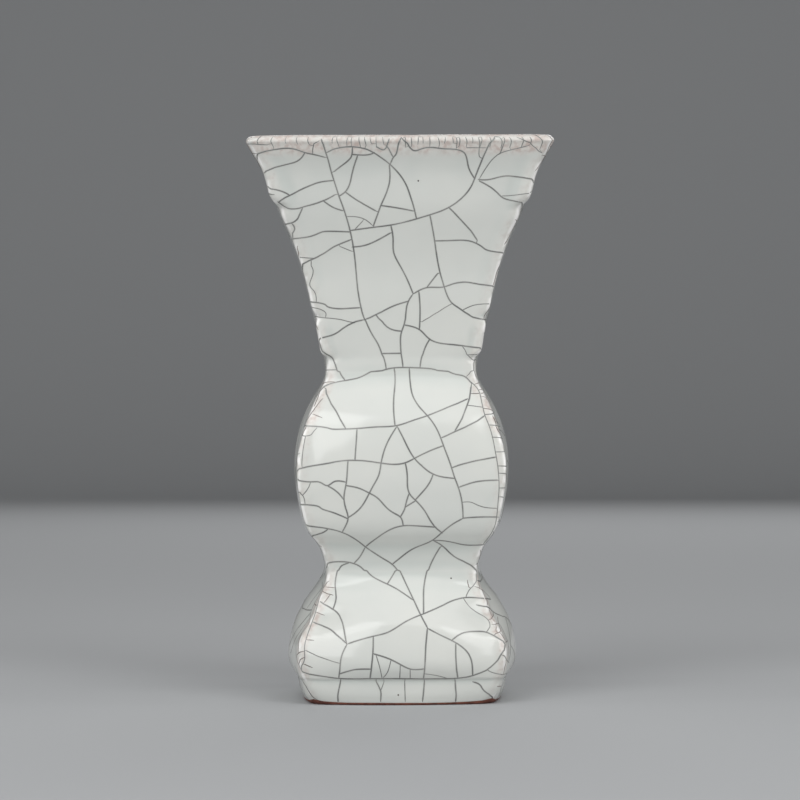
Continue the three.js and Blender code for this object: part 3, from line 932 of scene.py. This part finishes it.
class Crackle:
    """The growing network of cracks on one zone of the skin, between two rows and off its barred places."""

    def __init__(self, surface, first_row, last_row, rng, barred=nowhere):
        self.surface = surface
        self.barred = barred
        self.first_row, self.last_row = first_row, last_row
        self.rng = rng
        self.points = np.zeros((0, 3))
        self.places = np.zeros((0, 2))
        self.lines = []

    def keep(self, line, weight):
        """Takes a line and its width's share into the network."""
        self.lines.append((line, weight))
        self.points = np.concatenate([self.points, self.surface.points(line)])
        self.places = np.concatenate([self.places, line])

    def carry_on(self, lines, reaches):
        """Lines whose loose ends join the nearest other line, or run on round the corner beside them."""
        surface = self.surface
        lines = list(lines)
        points = [surface.points(line) for line in lines]
        for number, reach in enumerate(reaches):
            line = lines[number]
            near = np.concatenate(points[:number] + points[number + 1:])
            places = np.concatenate(lines[:number] + lines[number + 1:])
            back = min(HEADING_STEPS, len(line) - 1)
            ends = []
            for end, before in ((0, back), (-1, -1 - back)):
                column, row = line[end]
                gaps = np.linalg.norm(near - points[number][end], axis=1)
                closest = int(gaps.argmin())
                more = []
                if gaps[closest] < CRACK_JOIN:
                    more = [surface.same_turn(places[closest], column)]
                elif surface.beside_corner(column, row) < CORNER_REACH:
                    across, along = (line[end] - line[before]) * surface.cell_mm(column, row)
                    more = self.march(column, row, math.atan2(along, across), reach, near, places)
                ends.append(np.array(more).reshape(-1, 2))
            lines[number] = np.concatenate([ends[0][::-1], line, ends[1]])
            points[number] = surface.points(lines[number])
        return lines

    def march(self, column, row, heading, reach, near, places, barred=nowhere):
        """A crack from a place until it meets another crack or a barred place, or has its full reach."""
        bend = self.rng.gauss(0, STEADY_BEND)
        line = []
        for _ in range(int(reach / STRIDE)):
            heading += bend + self.rng.gauss(0, WANDER)
            column, row = self.surface.step(column, row, heading, STRIDE)
            row = min(max(row, self.first_row), self.last_row)
            if barred(column, row):
                break
            line.append((column, row))
            if row in (self.first_row, self.last_row):
                break
            if len(near):
                here = self.surface.read(self.surface.grid, column, row)
                gaps = np.linalg.norm(near - here, axis=1)
                closest = int(gaps.argmin())
                if gaps[closest] < MEETING_GAP:
                    line.append(self.surface.same_turn(places[closest], column))
                    break
        return line

    def split(self, column, row, middle, reach):
        """A crack both ways from a place, its first heading near to straight at the nearest crack."""
        surface = self.surface
        close = np.linalg.norm(self.points - middle, axis=1) < min(reach, LOOK_AROUND) + LOOK_MARGIN
        near, places = self.points[close], self.places[close]
        heading = self.rng.uniform(0, math.tau)
        if len(near):
            target = places[int(np.linalg.norm(near - middle, axis=1).argmin())]
            wide, high = surface.cell_mm(column, row)
            across = (target[0] - column + surface.columns / 2) % surface.columns - surface.columns / 2
            heading = math.atan2((target[1] - row) * high, across * wide)
            heading += self.rng.gauss(0, HEADING_SPREAD)
        ahead, behind = (
            self.march(column, row, way, reach, near, places, self.barred)
            for way in (heading, heading + math.pi)
        )
        line = np.array(behind[::-1] + [(column, row)] + ahead)
        return smooth_line(line[::2] if len(line) > SHORT_LINE else line, surface)

    def fill(self, patch, count):
        """Splits the largest free patch until each is smaller than patch says, looking at count places."""
        rng = self.rng
        columns = np.array([rng.uniform(0, self.surface.columns) for _ in range(count)])
        rows = np.array([rng.uniform(self.first_row, self.last_row) for _ in range(count)])
        points = self.surface.read(self.surface.grid, columns, rows)
        wanted = np.array([patch(c, r) * rng.uniform(*PATCH_SPREAD) for c, r in zip(columns, rows)])
        free = np.full(count, WIDEST_PATCH)
        for line, _ in self.lines:
            free = np.minimum(free, nearest(points, self.surface.points(line)))
        share = free / wanted
        while share.max() >= 1:
            worst = int(share.argmax())
            main = wanted[worst] > FINE_PATCH
            reach = MAIN_REACH if main else FINE_REACH * wanted[worst]
            line = self.split(columns[worst], rows[worst], points[worst], reach)
            weight = min(GROWN_LEAST + GROWN_GAIN * float(share[worst]), 1.0) if main else GROWN_FINE
            self.keep(line, weight * rng.uniform(*WIDTH_SPREAD))
            free = np.minimum(free, nearest(points, self.surface.points(line)))
            share = free / wanted


def crack_mesh(name, surface, lines, width, proud, depth):
    """Closed thread-thin solids along the lines: a flat top just proud of the glaze, and a sharp root."""
    points, faces = [], []
    for line, weight in lines:
        apart = np.linalg.norm(np.diff(surface.points(line), axis=0), axis=1) > SAME_PLACE
        line = line[np.append(True, apart)]
        count = len(line)
        if count < 3:
            continue
        centre = surface.points(line)
        out = surface.read(surface.normals, line[:, 0], line[:, 1])
        out /= np.linalg.norm(out, axis=1, keepdims=True)
        ahead = np.gradient(centre, axis=0)
        ahead /= np.maximum(np.linalg.norm(ahead, axis=1, keepdims=True), 1e-9)
        side = np.cross(out, ahead)
        from_end = np.minimum(np.arange(count), np.arange(count)[::-1])
        half = width * weight / 2 * np.interp(from_end, (0, END_STEPS), (END_WIDTH, 1))
        left = centre + side * half[:, None] + out * proud
        right = centre - side * half[:, None] + out * proud
        root = centre - out * depth
        base = len(points)
        for section in zip(left, right, root):
            points += section
        for i in range(count - 1):
            a, b = base + 3 * i, base + 3 * (i + 1)
            faces += [(a, a + 1, b + 1, b), (a + 1, a + 2, b + 2, b + 1), (a + 2, a, b, b + 2)]
        end = base + 3 * (count - 1)
        faces += [(base, base + 2, base + 1), (end, end + 1, end + 2)]
    ceiling = cad_box[1][2] / MM - CRACK_MARGIN
    return mesh_object(name, np.minimum(points, (np.inf, np.inf, ceiling)) * MM, faces, False)


def pinhole_mesh(surface, places):
    """Small dark pits in the glaze, each a closed cone with its point inwards."""
    points, faces = [], []
    for column, row, radius in places:
        centre = surface.read(surface.grid, column, row)
        out = surface.read(surface.normals, column, row)
        out /= np.linalg.norm(out)
        side = np.cross(out, (0, 0, 1))
        side /= np.linalg.norm(side)
        up = np.cross(out, side)
        base = len(points)
        top = centre + out * PINHOLE_PROUD
        for i in range(PINHOLE_SIDES):
            turn = math.tau * i / PINHOLE_SIDES
            points.append(top + radius * (side * math.cos(turn) + up * math.sin(turn)))
        points += [top, centre - out * PINHOLE_DEPTH]
        middle = base + PINHOLE_SIDES
        for i in range(PINHOLE_SIDES):
            a, b = base + i, base + (i + 1) % PINHOLE_SIDES
            faces += [(a, b, middle), (b, a, middle + 1)]
    return mesh_object("pinholes", np.array(points) * MM, faces, False)


def keep_piece(piece, surface_material):
    """Gives a piece its material, and ties it to the vase's body."""
    piece.data.materials.append(surface_material)
    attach(piece, "root")


def soft_step(values, low, high):
    """0 below low, 1 above high, and smooth between them."""
    share = np.clip((values - low) / (high - low), 0, 1)
    return share * share * (3 - 2 * share)


def mottle(grid, size):
    """Patchy numbers from 0 to 1 over the grid, the patches about size across."""
    values = np.array([noise.noise(Vector(p)) for p in grid.reshape(-1, 3) / size])
    return np.clip(0.5 + MOTTLE_CONTRAST * values, 0, 1).reshape(grid.shape[:2])


def thin_glaze(grid, outside):
    """How thin the glaze is at each point: on the rim and in bands along the corners."""
    heights = grid[:, :, 2]
    band = 1 - soft_step(from_corner(grid), THIN_BAND * THIN_FULL_SHARE, THIN_BAND)
    band = band * np.interp(heights, THIN_HEIGHTS, THIN_SHARES)
    rim = soft_step(heights, RIM_THIN_FROM, RIM_THIN_FULL) * RIM_THIN_SHARE
    patches = PATCHY_LEAST + PATCHY_GAIN * mottle(grid, THIN_PATCH)
    return np.clip(np.maximum(band * outside[:, None], rim) * patches, 0, 1)


def painted_glint_line(grid, outside):
    """A painted highlight: a pale broken line along a corner's edge, where the lamps' glints would be."""
    line = 1 - soft_step(from_corner(grid), GLINT_FULL, GLINT_NONE)
    broken = soft_step(mottle(grid, GLINT_STRETCH), *GLINT_BREAKS)
    return line * broken * outside[:, None]


def pooled_glaze(grid, normals):
    """How much glaze has pooled at each point, in the hollows of the skin."""
    level = np.pad(grid, ((POOL_ROWS, POOL_ROWS), (0, 0), (0, 0)), mode="edge")
    rows = (level[2 * POOL_ROWS:] + level[:-2 * POOL_ROWS]) / 2 - grid
    columns = (np.roll(grid, POOL_ROWS, 1) + np.roll(grid, -POOL_ROWS, 1)) / 2 - grid
    hollow = ((rows + columns) * normals).sum(2)
    return np.clip((hollow - POOL_FROM) / POOL_SPREAD, 0, 1) * POOL_SHARE


def placed_cracks(surface, tree, rng):
    """The front's placed cracks as lines on the skin, each with its width's share."""
    placed = [(crack, 1.0) for crack in FRONT_CRACKS]
    placed += [(crack, PLACED_FINE) for crack in FINE_FRONT_CRACKS]
    for x in RIM_CRACKS:
        foot = RIM_CRACK_LOWEST + rng.uniform(*RIM_CRACK_FOOT)
        lean = rng.uniform(-RIM_CRACK_LEAN, RIM_CRACK_LEAN)
        placed.append((((x, RIM_CRACK_TOP), (x + lean, foot)), PLACED_FINE))
    seen = [(seen_places(surface, tree, crack), weight) for crack, weight in placed]
    return [(smooth_line(places, surface), weight) for places, weight in seen if len(places) > 1]


def crack_lines(surface, tree, glazed_from, lip):
    """All cracks: the placed ones on the front, and the network grown round them."""
    rng = random.Random(CRACK_SEED)
    seen = placed_cracks(surface, tree, rng)
    heights = surface.grid[:, 0, 2]

    def crowded(row):
        """Whether a row is at a height where the corners are full of fine cracks."""
        return any(low < heights[int(row)] < high for low, high in CROWDED_HEIGHTS)

    def front(column, row):
        """Whether a place is on the front, further in than its corners' own cracks reach."""
        band = CROWDED_BAND if crowded(row) else CORNER_BAND
        on_front = column % surface.columns < surface.columns / SIDES
        return on_front and surface.beside_corner(column, row) > band

    def patch(column, row):
        """The free patch's half-width that is wanted at a place outside, in mm."""
        if front(column, row):
            return WIDEST_PATCH
        size = OPEN_PATCH
        beside = surface.beside_corner(column, row)
        if beside < CORNER_ZONE:
            least, gain = CROWDED_PATCH if crowded(row) else CORNER_PATCH
            size = least + gain * beside
        if heights[int(row)] > UNDER_RIM_FROM:
            size = min(size, RIM_PATCH if heights[int(row)] > RIM_FROM else UNDER_RIM_PATCH)
        return size

    def inside_patch(column, row):
        """The same for a place inside."""
        return INSIDE_RIM_PATCH if heights[int(row)] > RIM_FROM else INSIDE_PATCH

    outside = Crackle(surface, glazed_from + 1.0, float(lip), rng, front)
    reaches = [MAIN_RUN_ON if weight > PLACED_FINE else FINE_RUN_ON for _, weight in seen]
    carried = outside.carry_on([line for line, _ in seen], reaches)
    for line, (_, weight) in zip(carried, seen):
        outside.keep(line, weight)
    outside.fill(patch, OUTSIDE_PLACES)
    inside = Crackle(surface, float(lip), float(surface.rows - FLOOR_ROWS), rng)
    inside.fill(inside_patch, INSIDE_PLACES)
    under = Crackle(surface, 1.0, float(glazed_from - RECESS_ROWS), rng)
    under.fill(lambda column, row: RECESS_PATCH, RECESS_PLACES)
    return outside.lines + inside.lines + under.lines


def pinhole_places(surface, tree, glazed_from, lip):
    """The pinholes' places and radii: the front's as seen, and some on each other side."""
    spots = [(*seen_place(surface, tree, *spot), PINHOLE_RADIUS) for spot in FRONT_PINHOLES]
    rng = random.Random(PINHOLE_SEED)
    for side in range(1, SIDES):
        for _ in range(PINHOLES_PER_SIDE):
            column = (side + rng.uniform(*PINHOLES_ACROSS)) * surface.columns / SIDES
            row = rng.uniform(glazed_from + PINHOLE_FOOT_ROWS, lip - PINHOLE_LIP_ROWS)
            spots.append((column, row, rng.uniform(*PINHOLE_RADII)))
    return spots


def vase():
    """All visible pieces: the glaze's skin, the cracks and pinholes in it, and the clay rim under it."""
    grid, glazed_from, lip = make_skin()
    grid = inside_box(hand_made(grid, normals_of(grid)))
    normals = normals_of(grid)
    skin = grid_mesh("glaze_skin", grid)
    rows = np.arange(len(grid))
    outside = ((rows >= glazed_from) & (rows <= lip)).astype(float)
    paint(skin, "thin", thin_glaze(grid, outside))
    # The painted highlight along the corners' edges
    paint(skin, "edge", painted_glint_line(grid, outside))
    paint(skin, "pooled", pooled_glaze(grid, normals))
    keep_piece(skin, glaze_material())
    every = [f"{storey}_wall_{side}" for storey in STOREYS for side in DIRECTIONS]
    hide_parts("floor_slab", *every)

    surface = Surface(grid, normals)
    tree = BVHTree.FromPolygons([Vector(p) for p in grid.reshape(-1, 3)], grid_faces(*grid.shape[:2]))
    lines = crack_lines(surface, tree, glazed_from, lip)
    main = [(line, weight) for line, weight in lines if weight >= PLACED_FINE]
    fine = [(line, weight) for line, weight in lines if weight < PLACED_FINE]
    keep_piece(crack_mesh("crackle_stain", surface, main, *STAIN_SOLID), stain_material(*STAIN))
    keep_piece(crack_mesh("crackle_ink", surface, main, *INK_SOLID), stain_material(*INK))
    keep_piece(crack_mesh("crackle_hair", surface, fine, *HAIR_SOLID), stain_material(*TEA))
    spots = pinhole_places(surface, tree, glazed_from, lip)
    keep_piece(pinhole_mesh(surface, spots), stain_material(*PIT))
    keep_piece(foot_rim(), clay_material())


def foot_rim():
    """The bare clay rim that the vase stands on: a closed band round the foot's lower edge."""
    top = clay_top(rings_of("foot"))
    outer, inner = (
        [at_height(rings_of("foot", out, inset), top * share + more) for inset, share, more in RIM_SECTION]
        for out in (True, False)
    )
    rows = outer + inner[::-1]
    return grid_mesh("foot_rim", np.array([*rows[::-1], rows[-1]]), closed_ends=False)


def studio():
    """A pale floor that curves up into a backdrop, and soft lamps."""
    profile = [(FLOOR_FRONT, 0.0), (FLOOR_BACK, 0.0)]
    for degrees in range(6, 91, 6):
        turn = math.radians(degrees)
        profile.append((FLOOR_BACK + FLOOR_BEND * math.sin(turn), FLOOR_BEND * (1 - math.cos(turn))))
    profile.append((FLOOR_BACK + FLOOR_BEND, BACKDROP_TOP))
    points = [(x, y, z) for y, z in profile for x in (-FLOOR_HALF, FLOOR_HALF)]
    faces = [(2 * i, 2 * i + 1, 2 * i + 3, 2 * i + 2) for i in range(len(profile) - 1)]
    floor = mesh_object("studio_floor", points, faces, True)
    made, _, shader = material("pale_backdrop", roughness=0.9)
    shader.inputs["Base Color"].default_value = (*BACKDROP, 1)
    shader.inputs["Specular IOR Level"].default_value = 0.1
    floor.data.materials.append(made)
    for name, place, size, power in LAMPS:
        lamp = bpy.data.lights.new(name, "AREA")
        lamp.shape = "RECTANGLE"
        lamp.size, lamp.size_y = size
        lamp.energy = power
        holder = bpy.data.objects.new(name, lamp)
        bpy.context.scene.collection.objects.link(holder)
        holder.location = place
        aim = Vector(LAMP_AIM) - Vector(place)
        holder.rotation_euler = aim.to_track_quat("-Z", "Y").to_euler()
    world = bpy.data.worlds.new("soft_room")
    bpy.context.scene.world = world
    world.use_nodes = True
    world.node_tree.nodes["Background"].inputs["Color"].default_value = (1, 1, 1, 1)
    world.node_tree.nodes["Background"].inputs["Strength"].default_value = ROOM_LIGHT


def camera():
    """The camera of the photo, as fitted to it."""
    lens = bpy.data.cameras.new("camera")
    lens.lens = LENS
    lens.sensor_width = SENSOR
    lens.clip_start = 0.01
    holder = bpy.data.objects.new("camera", lens)
    bpy.context.scene.collection.objects.link(holder)
    view = camera_view()
    view.translation *= MM
    holder.matrix_world = view
    bpy.context.scene.camera = holder


bpy.context.scene.view_settings.view_transform = "Standard"
camera()
studio()
vase()
